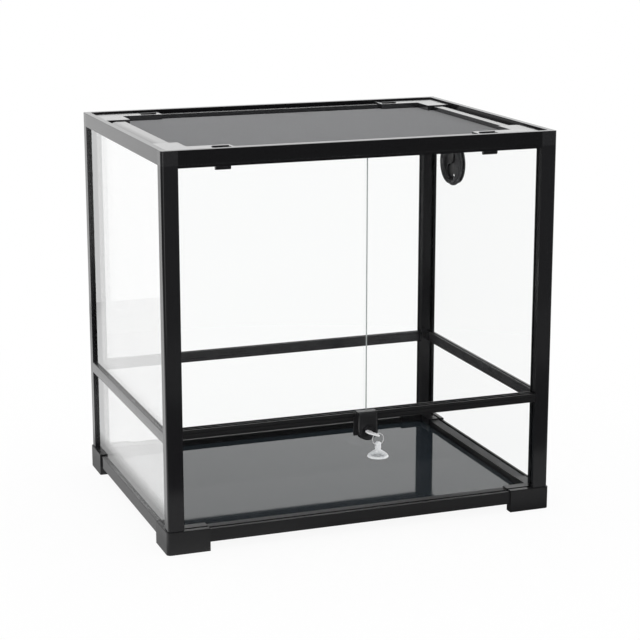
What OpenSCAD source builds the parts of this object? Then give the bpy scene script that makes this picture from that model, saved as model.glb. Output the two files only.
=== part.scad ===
// Sliding-door terrarium, knock-down frame of extruded rails with plug-in corners.
// X runs to the right, Y to the back and Z up; the origin is under the middle of the tank.

/* [Overall size] */
// Width across the posts
frame_w = 600; // [540:10:760]
// Depth across the posts
frame_d = 450; // [420:10:560]
// Height from the table to the top of the frame
frame_h = 580; // [500:10:700]
// Height of the top of the side and back mid rails
mid_top = 178; // [150:1:230]

/* [Posts and rails] */
// Width of a post seen from the front
post_w = 24; // [24:0.5:28]
// Depth of a post seen from the side
post_d = 18; // [18:0.5:20]
// Radius of the outer upright corners
corner_r = 4; // [2:0.5:4]
// Wall of the extrusions
wall = 2; // [1.8:0.1:2]
// Height of the outer face of a top rail
top_face_h = 21; // [20:0.5:23]
// Width of the lip that stands round the lid
lip_w = 10; // [10:0.5:12]
// Reach of the ledge that carries the lid, from the outer face
ledge_reach = 22; // [20:0.5:22]
// Height of a side or back mid rail
mid_h = 17; // [17:0.5:20]
// Depth of a mid rail
mid_d = 18; // [18:0.5:20]
// Height of the top of the front mid rail above the others
front_mid_rise = 4.5; // [4:0.5:6]
// Height of a bottom rail
base_h = 19; // [19:0.5:22]
// Depth of a bottom rail
base_d = 24; // [24:0.5:28]
// Clear height under the bottom rails
base_lift = 13; // [8:0.5:16]
// Free play between a plug and its socket, on each side
plug_gap = 0.2; // [0.1:0.05:0.25]
// Length of a plug inside a rail or post
plug_len = 25; // [15:1:35]

/* [Feet] */
// Length of a foot along the front
foot_x = 62; // [48:1:80]
// Length of a foot along the side
foot_y = 58; // [42:1:75]
// How far a foot stands proud of the frame
foot_proud = 2.2; // [1:0.1:2.4]
// Wall of the foot's hollow underside
foot_wall = 2.6; // [2:0.1:3.5]
// Depth of a foot's arms under the base rails
foot_depth = 11; // [9:0.5:20]
// Thickness of a foot's cover over the tops of the base rails
foot_cover = 2; // [1:0.1:3]
// How far a foot stands proud of the base rails on the inside
foot_lip = 1.6; // [0.8:0.1:2.4]

/* [Glass] */
// Thickness of every pane
glass_t = 4; // [3:0.1:4]
// Play on each side of a pane in its slot
glass_gap = 0.2; // [0.1:0.05:0.25]
// Depth of the slots that hold the panes
slot_depth = 7; // [5:0.5:7]
// Setback of the side and back panes behind the outer faces
glass_set = 4; // [3.5:0.1:4]
// Setback of the lower front pane
front_glass_set = 7; // [6:0.1:7]
// Thickness of the floor panel
floor_t = 3; // [2:0.1:3]

/* [Sliding doors] */
// Play on each side of a door in its track
door_gap = 0.5; // [0.3:0.05:0.5]
// Setback of the front track
track_set = 3.5; // [3.5:0.1:4]
// Web between the two tracks
track_web = 2; // [1.6:0.1:2]
// Depth of the lower tracks
lower_track = 3; // [2:0.1:3.5]
// Depth of the upper tracks, deep enough to lift a door out
upper_track = 8; // [7:0.25:8]
// How far the track walls hang below the top rail's face
track_hang = 4; // [3:0.1:4.5]
// Place of the meeting edges across the front
meet_x = 3.2; // [-20:0.2:20]
// How far the doors lap over each other
door_lap = 2; // [0:0.1:2]

/* [Screen lid] */
// Gap round the lid inside the lip
lid_gap = 0.8; // [0.5:0.1:1.5]
// Depth of the recess that takes the lid
lid_recess = 16; // [15:0.5:16]
// Width of the lid's rails
lid_rail_w = 31; // [30:0.5:34]
// Width of the rounded shoulder along the outer edge of the lid's rails
lid_shoulder_w = 18; // [14:0.5:20]
// How far the lid's rails lie below the frame's top
lid_rail_drop = 4; // [3:0.25:4.5]
// How far the lid's corners lie below the frame's top
lid_corner_drop = 2.5; // [1.5:0.25:2.5]
// How far the lid's corners reach past the rails' inner edge
lid_corner_extra = 9; // [6:0.5:14]
// Length of a lid corner along the front, from the frame's outer face
lid_arm_x = 114; // [110:1:150]
// Length of a lid corner along the side, from the frame's outer face
lid_arm_y = 94; // [75:1:130]
// Thickness of the woven screen
screen_t = 0.4; // [0.3:0.05:0.6]
// Openings across the screen's plain grid, which stands for the fine weave
screen_cells = 12; // [6:1:12]
// Width of a bar of that grid
screen_bar = 5; // [3:0.5:8]
// Width of the groove that holds the screen's rubber cord
spline_w = 3.6; // [3:0.1:4]
// Distance of a latch from the frame's side face
latch_in = 96; // [84:0.5:98.5]
// Width of a latch
latch_w = 26; // [20:0.5:26]
// Travel of a latch
latch_travel = 4; // [3:0.25:4.5]
// How far a latch's finger grip rises above the lid
latch_rise = 1.3; // [0.6:0.1:1.4]

/* [Lock] */
// Place of the lock across the front
lock_x = 0.5; // [-10:0.5:10]
// Width of the lock's back plate
lock_plate_w = 38; // [36:0.5:44]
// Width of the lock's body
lock_body_w = 29; // [27:0.5:31]
// Depth of the lock's body in front of the rail
lock_depth = 13; // [12:0.25:16]
// Radius of the key plug
plug_r = 7; // [6.5:0.25:7.5]
// Travel of the bolt
bolt_rise = 4; // [3.5:0.1:4]
// Width of the key's bow
bow_w = 20; // [18:0.5:24]
// Length of the key's bow
bow_len = 13; // [11:0.5:16]
// Thickness of the key
key_t = 2; // [1.6:0.1:2.2]
// Tilt of the key at rest, clockwise seen from the front
key_tilt = 19; // [10:1:30]
// Mean radius of the key ring
ring_r = 8.6; // [8.4:0.1:9.5]
// Radius of the suction cup's rim
cup_r = 15.5; // [13:0.25:17]

/* [Cable port] */
// Radius of the port's flange
port_r = 37; // [34:0.5:40]
// Radius of the hole in the glass
port_hole_r = 29; // [27:0.5:30]
// Distance of the port from the back face
port_back = 103; // [80:1:160]
// Distance of the port below the top of the frame
port_down = 97; // [88:1:160]
// How far the port stands into the tank
port_depth = 9; // [8:0.25:12]

/* [Hidden] */

BLACK = [0.07, 0.07, 0.075];
SATIN = [0.12, 0.12, 0.125];
GLASS = [0.86, 0.93, 0.93, 0.3];
STEEL = [0.78, 0.78, 0.8];
SLATE = [0.26, 0.28, 0.29];
CLEAR = [0.9, 0.93, 0.95, 0.5];
FINE = 48;
EPS = 0.01;
seat = 0.3;
edge_r = 1;

// Outer faces and the levels of the frame
side_x = frame_w / 2;
face_y = frame_d / 2;
top_face_z = frame_h - top_face_h;
ledge_z = frame_h - lid_recess;
ledge_t = 3;
mid_bottom = mid_top - mid_h;
front_mid_top = mid_top + front_mid_rise;
front_mid_h = mid_h + 1;
front_mid_bottom = front_mid_top - front_mid_h;
base_top = base_lift + base_h;
foot_top = base_top + foot_cover;
seam_z = mid_top - 3;

// Slots and tracks
slot = glass_t + 2 * glass_gap;
track = glass_t + 2 * door_gap;
rear_track_set = track_set + track + track_web;
track_end = rear_track_set + track;
track_wall_z = top_face_z - track_hang;
track_roof_z = track_wall_z + upper_track;
door_bottom = front_mid_top - lower_track + seat;
door_engage = 3.5;
door_top = track_wall_z + door_engage;
post_track = 4;
door_side_gap = 0.5;

// Sockets of the plugs: in a post, in a top rail's lip and in a base rail
socket_u = [wall + 0.2, wall + 12.2];
socket_v = [wall + 0.2, wall + 6.2];
lip_socket_v = [wall, lip_w - wall];
lip_socket_z = [frame_h - 12, frame_h - wall];
base_socket_v = [wall, wall + 12];
base_socket_z = [base_lift + 5.2, base_lift + 10];
floor_z = base_lift + 1.6;
mid_socket_v = [glass_set + slot + 1.8, mid_d - 1.6];
mid_socket_z = [mid_bottom + 2, mid_top - 2];
front_socket_v = [3, 15];
front_socket_z = [front_mid_bottom + slot_depth + 1.5, front_mid_top - lower_track - 1.5];

// Lid levels and outline
lid_w = frame_w - 2 * (lip_w + lid_gap);
lid_d = frame_d - 2 * (lip_w + lid_gap);
lid_bottom = ledge_z + seat;
lid_rail_top = frame_h - lid_rail_drop;
lid_corner_top = frame_h - lid_corner_drop;
spline_in = 21;
screen_top = lid_bottom + 5;
spline_top = screen_top + 2.9;
cord_bottom = screen_top - 1.5;
lid_edge_t = 4.5;
lid_socket = [lid_shoulder_w - 5, spline_in - 1.2];
lid_socket_z = [lid_bottom + 1.7, lid_rail_top - 1.7];
lid_inner = lid_rail_w + lid_corner_extra;

// Latch, measured inward from the frame's outer face while it is released
hook_flange_z = track_wall_z;
hook_flange_t = 2;
leg_t = 2.5;
leg_v = ledge_reach + 0.6 + latch_travel;
nose_t = 8.2;
nose_len = 4;
latch_plate_t = 2.6;
latch_pocket_z = lid_corner_top - latch_plate_t - 0.9;
latch_front = 7;
latch_back = 9;
latch_grip_t = 3;
latch_side = 2.5;
latch_rib = 1.4;
latch_hollow = 1.8;

// Lock levels
lock_top = front_mid_top + 3;
plug_z = front_mid_top - 24.5;
plug_face = lock_depth + 1.5;
cam_reach = bolt_rise / sqrt(2);
bolt_base_z = front_socket_z[0] + 0.2;
bolt_base_t = 2.2;
finger_top = front_mid_top - lower_track - seat;
pocket_x = [meet_x - 7.5, meet_x + 7.5];

// Key, ring and cup
bow_y = -face_y - plug_face - 14;
hole_r = 3;
hole_s = bow_w / 2 - hole_r - 2;
margin_s = bow_w / 2 - 1;
margin_x = lock_x + margin_s * cos(key_tilt);
margin_z = plug_z - margin_s * sin(key_tilt);
ring_drop = ring_r - 2.4;
ring_z = margin_z - ring_drop;
cup_z = ring_z - ring_r;
cup_hole_r = 2.3;

// The key stands out in front and the feet behind; this evens them out
place_y = (cup_r - bow_y - face_y - foot_proud) / 2;

// Port
port_y = face_y - port_back;
port_z = frame_h - port_down;
port_bore_r = port_hole_r - 3;
right_glass_in = side_x - glass_set - glass_t;
cover_top = 3.4;
cover_t = 2;

// ---------- helpers ----------

// Mirrors its children when on is true
module flip(on, axis) {
  if (on) mirror(axis) children();
  else children();
}

// Moves the tank back so that the origin is under the middle of everything, key included
module placed() {
  translate([0, place_y, 0]) children();
}

// Puts a corner drawn at the front left, u inward from the side and v from the front
module corner(right, back) {
  flip(right, [1, 0, 0]) flip(back, [0, 1, 0])
    translate([-side_x, -face_y, 0]) children();
}

// Runs a section (inward, up) along the front or the back
module front_run(back, length) {
  flip(back, [0, 1, 0]) translate([0, -face_y, 0]) rotate([90, 0, 90])
    linear_extrude(height = length, center = true) children();
}

// Runs a section (inward, up) along the left or the right side
module side_run(right, length) {
  flip(right, [1, 0, 0]) translate([-side_x, 0, 0]) rotate([90, 0, 0])
    linear_extrude(height = length, center = true) children();
}

// A rectangle between two corners
module rect(x, y) {
  translate([x[0], y[0]]) square([x[1] - x[0], y[1] - y[0]]);
}

// A box between two corners
module block(x, y, z) {
  translate([x[0], y[0], z[0]]) cube([x[1] - x[0], y[1] - y[0], z[1] - z[0]]);
}

// What a round of radius r takes off the corner at the origin
module round_cut(r) {
  difference() {
    translate([-1, -1]) square(r + 1);
    translate([r, r]) circle(r, $fn = FINE);
  }
}

// A range narrowed by the plug gap at both ends
function plug(r) = [r[0] + plug_gap, r[1] - plug_gap];

// ---------- posts ----------

// Section of a post; face_slot is the setback of the pane or door in its inner side
module post_section(face_set, face_width, face_depth) {
  difference() {
    square([post_w, post_d]);
    round_cut(corner_r);
    rect([glass_set, glass_set + slot], [post_d - slot_depth, post_d + 1]);
    rect([post_w - face_depth, post_w + 1], [face_set, face_set + face_width]);
    rect(socket_u, socket_v);
  }
}

// Windows through which the mid plug reaches the side rail and the front or back rail
module mid_windows(back) {
  block([mid_socket_v[0], socket_u[1]], [socket_v[1] - 1, post_d + 1], mid_socket_z);
  if (back) block([socket_u[1] - 4, post_w + 1], mid_socket_v, mid_socket_z);
  else block([socket_u[1] - 4, post_w + 1], front_socket_v, front_socket_z);
}

module post(right, back, z0, z1, face_set, face_width, face_depth) {
  color(BLACK) corner(right, back) difference() {
    translate([0, 0, z0]) linear_extrude(height = z1 - z0)
      post_section(face_set, face_width, face_depth);
    mid_windows(back);
  }
}

module upper_front_post(right) {
  post(right, false, seam_z, top_face_z, right ? rear_track_set : track_set, track, post_track);
}

module lower_front_post(right) {
  post(right, false, foot_top, seam_z, front_glass_set, slot, slot_depth);
}

module back_post(right, z0, z1) {
  post(right, true, z0, z1, glass_set, slot, slot_depth);
}

module post_upper_fl() { placed() upper_front_post(false); }
module post_upper_fr() { placed() upper_front_post(true); }
module post_upper_bl() { placed() back_post(false, seam_z, top_face_z); }
module post_upper_br() { placed() back_post(true, seam_z, top_face_z); }
module post_lower_fl() { placed() lower_front_post(false); }
module post_lower_fr() { placed() lower_front_post(true); }
module post_lower_bl() { placed() back_post(false, foot_top, seam_z); }
module post_lower_br() { placed() back_post(true, foot_top, seam_z); }

// Plug inside each pair of posts, with a tongue into each mid rail
module mid_plug(right, back) {
  reach = plug_len - 1;
  arm_v = back ? mid_socket_v : front_socket_v;
  arm_z = back ? mid_socket_z : front_socket_z;
  corner(right, back) {
    block(plug(socket_u), plug(socket_v), [seam_z - reach, seam_z + reach]);
    block([mid_socket_v[0] + plug_gap, socket_u[1] - plug_gap],
          [socket_v[1] - 1, post_d + reach], plug(mid_socket_z));
    block([socket_u[1] - 3, post_w + reach], plug(arm_v), plug(arm_z));
  }
}

module mid_plugs() {
  placed() color(SATIN) for (right = [false, true], back = [false, true]) mid_plug(right, back);
}

// ---------- top frame ----------

// Room for the corner of a side pane in a corner block
module side_pane_notch(z0, z1) {
  block([glass_set, glass_set + slot], [post_d - slot_depth, post_d + 1], [z0, z1]);
}

// Room for the corner of a front or back pane in a corner block
module end_pane_notch(pane_set, z0, z1) {
  block([post_w - slot_depth, post_w + 1], [pane_set, pane_set + slot], [z0, z1]);
}

// What rounds the top edges of a corner piece on its two outer sides
module edge_rounding(z, reach) {
  translate([-EPS, 0, z]) rotate([90, 0, 90]) mirror([0, 1]) linear_extrude(height = reach)
    round_cut(edge_r);
  translate([0, reach - EPS, z]) rotate([90, 0, 0]) mirror([0, 1])
    linear_extrude(height = reach) round_cut(edge_r);
}

// Corner block with its recess for the lid and three plugs
module top_corner(right, back) {
  color(BLACK) corner(right, back) {
    difference() {
      translate([0, 0, top_face_z]) linear_extrude(height = top_face_h) difference() {
        square([post_w, post_d]);
        round_cut(corner_r);
      }
      block([lip_w, post_w + 1], [lip_w, post_d + 1], [ledge_z, frame_h + 1]);
      side_pane_notch(top_face_z - 1, top_face_z + slot_depth);
      edge_rounding(frame_h, 2 * post_w);
      if (back) end_pane_notch(glass_set, top_face_z - 1, top_face_z + slot_depth);
    }
    block(plug(socket_u), plug(socket_v), [top_face_z - plug_len, top_face_z + 1]);
    block([post_w - 1, post_w + plug_len], plug(lip_socket_v), plug(lip_socket_z));
    block(plug(lip_socket_v), [post_d - 1, post_d + plug_len], plug(lip_socket_z));
  }
}

module top_corner_fl() { placed() top_corner(false, false); }
module top_corner_fr() { placed() top_corner(true, false); }
module top_corner_bl() { placed() top_corner(false, true); }
module top_corner_br() { placed() top_corner(true, true); }

// Lip with its plug socket and rounded top, and the ledge behind it
module lip_section(reach) {
  difference() {
    union() {
      rect([0, lip_w], [top_face_z, frame_h]);
      rect([lip_w - EPS, reach], [ledge_z - ledge_t, ledge_z]);
    }
    rect(lip_socket_v, lip_socket_z);
    translate([0, frame_h]) mirror([0, 1]) round_cut(edge_r);
    translate([lip_w, frame_h]) mirror([0, 1]) mirror([1, 0]) round_cut(edge_r / 2);
  }
}

// Flange that a latch hooks under, hung from the ledge
module hook_section() {
  web = track_end;
  rect([web, web + wall], [hook_flange_z, ledge_z - ledge_t + EPS]);
  rect([web, ledge_reach], [hook_flange_z, hook_flange_z + hook_flange_t]);
}

module side_top_section() {
  difference() {
    union() {
      lip_section(post_w);
      rect([post_w - wall, post_w], [top_face_z, ledge_z - EPS]);
    }
    rect([glass_set, glass_set + slot], [top_face_z - 1, top_face_z + slot_depth]);
  }
}

module back_top_section() {
  difference() {
    union() {
      lip_section(ledge_reach);
      hook_section();
    }
    rect([glass_set, glass_set + slot], [top_face_z - 1, top_face_z + slot_depth]);
  }
}

module front_top_section() {
  difference() {
    union() {
      lip_section(ledge_reach);
      hook_section();
      rect([1.5, track_end + EPS], [track_wall_z, ledge_z - EPS]);
    }
    translate([0, top_face_z]) rotate(45) square(1.4, center = true);
    rect([track_set, track_set + track], [track_wall_z - 1, track_roof_z]);
    rect([rear_track_set, track_end], [track_wall_z - 1, ledge_z - wall]);
  }
}

long_run = frame_w - 2 * post_w;
short_run = frame_d - 2 * post_d;

module top_rail_front() { placed() color(BLACK) front_run(false, long_run) front_top_section(); }
module top_rail_back() { placed() color(BLACK) front_run(true, long_run) back_top_section(); }
module top_rail_left() { placed() color(BLACK) side_run(false, short_run) side_top_section(); }
module top_rail_right() { placed() color(BLACK) side_run(true, short_run) side_top_section(); }

// ---------- mid rails ----------

// H section: a slot above and below for the panes, and a socket behind them
module mid_section() {
  difference() {
    rect([0, mid_d], [mid_bottom, mid_top]);
    rect([glass_set, glass_set + slot], [mid_top - slot_depth, mid_top + 1]);
    rect([glass_set, glass_set + slot], [mid_bottom - 1, mid_bottom + slot_depth]);
    rect(mid_socket_v, mid_socket_z);
    translate([0, mid_top]) mirror([0, 1]) round_cut(edge_r);
    translate([0, mid_bottom]) round_cut(edge_r / 2);
  }
}

// Double sliding track over the slot of the lower pane
module front_mid_section() {
  difference() {
    rect([0, mid_d], [front_mid_bottom, front_mid_top]);
    for (set = [track_set, rear_track_set])
      rect([set, set + track], [front_mid_top - lower_track, front_mid_top + 1]);
    rect([front_glass_set, front_glass_set + slot],
         [front_mid_bottom - 1, front_mid_bottom + slot_depth]);
    rect(front_socket_v, front_socket_z);
    rect([-1, 0.8], [front_mid_top - 5.4, front_mid_top - 4.2]);
    rect([-1, 0.8], [front_mid_top - 11, front_mid_top - 10]);
    translate([0, front_mid_top]) mirror([0, 1]) round_cut(edge_r);
    translate([0, front_mid_bottom]) round_cut(edge_r / 2);
  }
}

module mid_rail_front() {
  placed() color(BLACK) difference() {
    front_run(false, long_run) front_mid_section();
    block(pocket_x, [-face_y - 1, -face_y + track_end], [front_socket_z[0], front_mid_top + 1]);
  }
}

module mid_rail_back() { placed() color(BLACK) front_run(true, long_run) mid_section(); }
module mid_rail_left() { placed() color(BLACK) side_run(false, short_run) mid_section(); }
module mid_rail_right() { placed() color(BLACK) side_run(true, short_run) mid_section(); }

// ---------- base rails ----------

// Slot for a pane on top, groove for the floor panel inside, sockets for the feet's plugs
module base_section(pane_set) {
  difference() {
    rect([0, base_d], [base_lift, base_top]);
    translate([0, base_top]) mirror([0, 1]) round_cut(edge_r);
    translate([0, base_lift]) round_cut(edge_r / 2);
    rect([pane_set, pane_set + slot], [base_top - slot_depth, base_top + 1]);
    rect([base_d - slot_depth, base_d + 1], [floor_z - glass_gap, floor_z + floor_t + glass_gap]);
    rect(base_socket_v, base_socket_z);
    rect([pane_set + slot + wall, base_d - wall], [base_socket_z[1] + 1, base_top - wall]);
  }
}

module base_rail_front() { placed() color(BLACK) front_run(false, long_run) base_section(front_glass_set); }
module base_rail_back() { placed() color(BLACK) front_run(true, long_run) base_section(glass_set); }
module base_rail_left() { placed() color(BLACK) side_run(false, short_run) base_section(glass_set); }
module base_rail_right() { placed() color(BLACK) side_run(true, short_run) base_section(glass_set); }

// ---------- feet ----------

// Outline of a foot with arms of a depth, grown outward by out and cut back inside by inset
module foot_outline(out, inset, depth) {
  difference() {
    union() {
      rect([-out, foot_x - inset], [-out, depth - inset]);
      rect([-out, depth - inset], [-out, foot_y - inset]);
      rect([-out, base_d - inset], [-out, base_d - inset]);
    }
    translate([-out, -out]) round_cut(corner_r + out);
  }
}

// Hollow skirt of a foot under the base rails, with a rib at the root of each arm
module foot_skirt() {
  roof = 3;
  difference() {
    linear_extrude(height = base_lift) foot_outline(foot_proud, 0, foot_depth);
    translate([0, 0, -1]) linear_extrude(height = base_lift - roof + 1) difference() {
      foot_outline(-foot_wall, foot_wall, foot_depth);
      rect([base_d, base_d + foot_wall], [0, base_d]);
      rect([0, base_d], [base_d, base_d + foot_wall]);
    }
  }
}

// Walls of a foot beside the base rails and its cover over their tops
module foot_shell(pane_set) {
  lip_z = floor_z + floor_t + 2 * glass_gap;
  difference() {
    union() {
      translate([0, 0, base_lift - EPS]) linear_extrude(height = foot_top - base_lift + EPS)
      difference() {
        foot_outline(foot_proud, 0, base_d);
        rect([post_w, foot_x + 1], [0, base_d + 1]);
        rect([0, base_d + 1], [post_d, foot_y + 1]);
      }
      translate([0, 0, base_top]) linear_extrude(height = foot_cover)
        foot_outline(foot_proud, 0, base_d + foot_lip);
      translate([0, 0, lip_z]) linear_extrude(height = foot_top - lip_z) difference() {
        foot_outline(0, 0, base_d + foot_lip);
        rect([-1, foot_x + 1], [-1, base_d]);
        rect([-1, base_d], [-1, foot_y + 1]);
      }
    }
    side_pane_notch(base_top - slot_depth, foot_top + 1);
    end_pane_notch(pane_set, base_top - slot_depth, foot_top + 1);
    block([glass_set, glass_set + slot], [post_d, foot_y + 1], [base_top - 1, foot_top + 1]);
    block([post_w, foot_x + 1], [pane_set, pane_set + slot], [base_top - 1, foot_top + 1]);
    block([base_d - slot_depth, base_d + 1], [base_d - slot_depth, base_d + 1],
          [floor_z - glass_gap, floor_z + floor_t + glass_gap]);
    translate([-foot_proud, -foot_proud, 0]) edge_rounding(foot_top, foot_x + foot_y);
  }
}

// Cap round the corner of the base rails with its block and plugs
module foot(right, back) {
  color(BLACK) corner(right, back) {
    foot_skirt();
    foot_shell(back ? glass_set : front_glass_set);
    block(plug(socket_u), plug(socket_v), [foot_top - 1, foot_top + plug_len]);
    block([post_w - 1, post_w + plug_len], plug(base_socket_v), plug(base_socket_z));
    block(plug(base_socket_v), [post_d - 1, post_d + plug_len], plug(base_socket_z));
  }
}

module foot_fl() { placed() foot(false, false); }
module foot_fr() { placed() foot(true, false); }
module foot_bl() { placed() foot(false, true); }
module foot_br() { placed() foot(true, true); }

// ---------- glass and floor ----------

upper_pane_z = [mid_top - slot_depth + glass_gap, top_face_z + slot_depth - glass_gap];
lower_pane_z = [base_top - slot_depth + glass_gap, mid_bottom + slot_depth - glass_gap];
front_pane_z = [lower_pane_z[0], front_mid_bottom + slot_depth - glass_gap];
pane_half_y = face_y - post_d + slot_depth - glass_gap;
pane_half_x = side_x - post_w + slot_depth - glass_gap;

module side_pane(right, z) {
  x0 = glass_set + glass_gap;
  color(GLASS) flip(right, [1, 0, 0])
    block([x0 - side_x, x0 + glass_t - side_x], [-pane_half_y, pane_half_y], z);
}

module end_pane(back, set, z) {
  y0 = set + glass_gap;
  color(GLASS) flip(back, [0, 1, 0])
    block([-pane_half_x, pane_half_x], [y0 - face_y, y0 + glass_t - face_y], z);
}

module glass_left_upper() { placed() side_pane(false, upper_pane_z); }
module glass_left_lower() { placed() side_pane(false, lower_pane_z); }
module glass_right_lower() { placed() side_pane(true, lower_pane_z); }
module glass_back_upper() { placed() end_pane(true, glass_set, upper_pane_z); }
module glass_back_lower() { placed() end_pane(true, glass_set, lower_pane_z); }
module glass_front_lower() { placed() end_pane(false, front_glass_set, front_pane_z); }

// The right upper pane has the round hole of the cable port
module glass_right_upper() {
  placed() color(GLASS) difference() {
    side_pane(true, upper_pane_z);
    translate([0, port_y, port_z]) rotate([0, 90, 0])
      cylinder(r = port_hole_r, h = frame_w, $fn = 2 * FINE);
  }
}

module floor_panel() {
  inset = base_d - slot_depth + seat;
  placed() color(SLATE)
    block([inset - side_x, side_x - inset], [inset - face_y, face_y - inset],
          [floor_z, floor_z + floor_t]);
}

// ---------- sliding doors ----------

module door(x, set) {
  y0 = set + door_gap - face_y;
  color(GLASS) block(x, [y0, y0 + glass_t], [door_bottom, door_top]);
}

door_end = side_x - post_w + post_track - door_side_gap;

module left_door() { placed() door([-door_end, meet_x + door_lap / 2], track_set); }
module right_door() { placed() door([meet_x - door_lap / 2, door_end], rear_track_set); }

// ---------- lock ----------

// Shield shape: straight sides over a half round
module shield(width, top) {
  rect([-width / 2, width / 2], [0, top]);
  circle(width / 2, $fn = 2 * FINE);
}

// Plan of the lock's body: flat front with rounded edges, drawn behind y = 0
module body_plan(depth, r) {
  difference() {
    rect([-lock_body_w / 2, lock_body_w / 2], [-depth, 0]);
    translate([-lock_body_w / 2, -depth]) round_cut(r);
    translate([lock_body_w / 2, -depth]) mirror([1, 0]) round_cut(r);
  }
}

// Back plate, rounded body and the hood that wraps over the top of the front mid rail
module lock_housing() {
  gap = 0.3;
  rail_z = front_mid_top - plug_z;
  hood_z = lock_top - plug_z;
  placed() color(BLACK) translate([lock_x, -face_y, plug_z]) difference() {
    union() {
      rotate([90, 0, 0]) linear_extrude(height = 2.4) shield(lock_body_w + 3, rail_z);
      intersection() {
        rotate([90, 0, 0]) linear_extrude(height = lock_depth) shield(lock_body_w, hood_z);
        translate([0, 0, -lock_body_w]) linear_extrude(height = 3 * lock_body_w)
          body_plan(lock_depth, 4);
        rotate([90, 0, -90]) linear_extrude(height = 2 * lock_body_w, center = true)
          difference() {
            rect([0, lock_depth], [-lock_body_w, hood_z]);
            translate([lock_depth, hood_z]) rotate(180) round_cut(6);
          }
      }
      block([-lock_body_w / 2, lock_body_w / 2], [-5, track_set - gap], [rail_z, hood_z]);
      for (side = [-1, 1]) translate([side * (lock_plate_w / 2 - 3), 0, 0])
        block([-3, 3], [-1.6, 0], [-9, rail_z - 6]);
    }
    rotate([90, 0, 0]) translate([0, 0, -1])
      cylinder(r = plug_r + 0.05, h = lock_depth + 2, $fn = 2 * FINE);
    block([-7.2, 10.2], [-5.2, 1], [-8, rail_z]);
  }
}

// Key plug with its keyway, collar and cam pin; drawn about its own axis along -Y
module lock_plug() {
  pin_angle = -45;
  placed() color(STEEL) translate([lock_x, -face_y, plug_z]) difference() {
    union() {
      rotate([90, 0, 0]) translate([0, 0, 5.6])
        cylinder(r = plug_r, h = plug_face - 5.6, $fn = 2 * FINE);
      rotate([90, 0, 0]) translate([0, 0, lock_depth + seat])
        cylinder(r = plug_r + 1.4, h = plug_face - lock_depth - seat, $fn = 2 * FINE);
      translate([cam_reach * cos(pin_angle), 0, cam_reach * sin(pin_angle)]) rotate([90, 0, 0])
        translate([0, 0, 1.4]) cylinder(r = 1.2, h = 4.6, $fn = FINE);
    }
    rotate([0, key_tilt, 0])
      block([-3.8, 3.8], [-plug_face - 1, -6.8], [-key_t / 2 - 0.15, key_t / 2 + 0.15]);
  }
}

// Bolt plate raised by the cam, with one finger in each track
module lock_bolt() {
  pin_play = 0.25;
  leg_y = [-face_y - 5, -face_y - 1.6];
  base_y = [-face_y + 1, -face_y + track_end - 0.7];
  finger = glass_t - 0.4;
  front_y = -face_y + track_set + door_gap + 0.2;
  rear_y = -face_y + rear_track_set + door_gap + 0.2;
  base_x = [pocket_x[0] + 0.4, pocket_x[1] - 0.4];
  placed() color(STEEL) difference() {
    union() {
      block(base_x, [leg_y[0], base_y[1]], [bolt_base_z, bolt_base_z + bolt_base_t]);
      block([lock_x - 1, base_x[1]], leg_y, [plug_z - 6, bolt_base_z + 1]);
      block([meet_x + door_lap / 2 + 0.4, base_x[1]], [front_y, front_y + finger],
            [bolt_base_z, finger_top]);
      block([base_x[0], meet_x - door_lap / 2 - 0.4], [rear_y, rear_y + finger],
            [bolt_base_z, finger_top]);
    }
    block([lock_x + 0.4, lock_x + cam_reach + 1.8], [-face_y - 9, -face_y],
          [plug_z - cam_reach * sin(45) - 1.2 - pin_play,
           plug_z - cam_reach * sin(45) + 1.2 + pin_play]);
  }
}

// Flat key: round-cornered bow with its ring hole, and a blade with shallow cuts
module key() {
  blade_y = [-plug_face + 6.4, bow_y + face_y + bow_len / 2];
  placed() color(STEEL) translate([lock_x, -face_y, plug_z]) rotate([0, key_tilt, 0]) difference() {
    union() {
      translate([0, bow_y + face_y, -key_t / 2]) linear_extrude(height = key_t) difference() {
        square([bow_w, bow_len], center = true);
        for (sx = [-1, 1], sy = [-1, 1]) translate([sx * bow_w / 2, sy * bow_len / 2])
          flip(sx > 0, [1, 0]) flip(sy > 0, [0, 1]) round_cut(3);
        translate([hole_s, 0]) circle(hole_r, $fn = FINE);
      }
      block([-3.6, 3.6], [blade_y[1] - 1, blade_y[0]], [-key_t / 2, key_t / 2]);
    }
    for (i = [0 : 2])
      translate([3.6, blade_y[0] - 2 - 2.2 * i, -key_t])
        rotate(45) cube([1.6, 1.6, 2 * key_t]);
  }
}

// Split ring of two flat turns
module key_ring() {
  placed() color(STEEL) translate([margin_x, bow_y, ring_z]) rotate([90, 0, 0])
    rotate_extrude($fn = 2 * FINE) difference() {
      translate([ring_r - 0.65, -1]) square([1.3, 2]);
      translate([ring_r + 0.45, -0.15]) square([0.3, 0.3]);
    }
}

// Clear suction cup that hangs on the ring and sticks to a door as a pull
module suction_cup() {
  neck_r = 4.5;
  placed() color(CLEAR) translate([margin_x, bow_y, cup_z]) difference() {
    rotate_extrude($fn = 2 * FINE) polygon([
      [0, 4.2], [3.2, 4.2], [neck_r, 3.2], [neck_r, -4.6], [neck_r - 0.6, -6],
      [neck_r + 0.6, -8], [0.56 * cup_r, -10.2], [0.78 * cup_r, -12.6], [0.93 * cup_r, -15],
      [cup_r, -16.8], [cup_r, -17.4], [cup_r - 0.7, -17.4], [0.86 * cup_r, -15.6],
      [0.66 * cup_r, -13.4], [0.4 * cup_r, -12], [0, -11.4]]);
    rotate([0, 90, 0]) cylinder(r = cup_hole_r, h = 2 * cup_r, center = true, $fn = FINE);
  }
}

// ---------- lid ----------

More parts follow.
